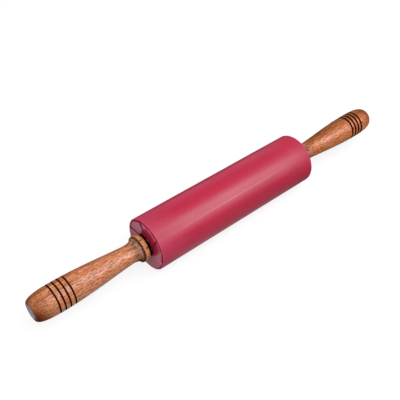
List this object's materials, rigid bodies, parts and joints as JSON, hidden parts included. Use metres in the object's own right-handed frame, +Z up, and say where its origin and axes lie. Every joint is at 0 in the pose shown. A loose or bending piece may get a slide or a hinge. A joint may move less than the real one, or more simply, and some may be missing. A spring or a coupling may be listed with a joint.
{
  "type": "rolling pin",
  "caption": "Revolving rolling pin: a silicone-sleeved roller with panelled end caps that turns freely on a steel axle between turned wooden handles.",
  "frame": {"origin": "the pin's centre: on the axle's axis, halfway between the handle tips", "axes": "+X along the axle, +Z up as the pin lies on a table"},
  "size_m": [0.4106, 0.0498, 0.0498],
  "materials": {
    "silicone": "satin red silicone",
    "core_plastic": "plain moulded",
    "cap_plastic": "glossy dark red moulding",
    "nylon": "natural nylon",
    "black_nylon": "black nylon",
    "steel": "drawn bar",
    "brass": "turned",
    "wood": "stained and lacquered, burnt grooves"
  },
  "bodies": {
    "handles": {"axle_rod": "steel", "handle_left": "wood", "handle_right": "wood", "threaded_insert_left": "brass", "threaded_insert_right": "brass", "thrust_washer_left": "black_nylon", "thrust_washer_right": "black_nylon"},
    "roller": {"silicone_sleeve": "silicone", "core_tube": "core_plastic", "end_cap_left": "cap_plastic", "end_cap_right": "cap_plastic", "bush_left": "nylon", "bush_right": "nylon"}
  },
  "joints": [
    {"name": "roller_spin", "type": "hinge", "parent": "handles", "child": "roller", "pos_m": [0, 0, 0], "axis": [1, 0, 0], "continuous": true}
  ]
}
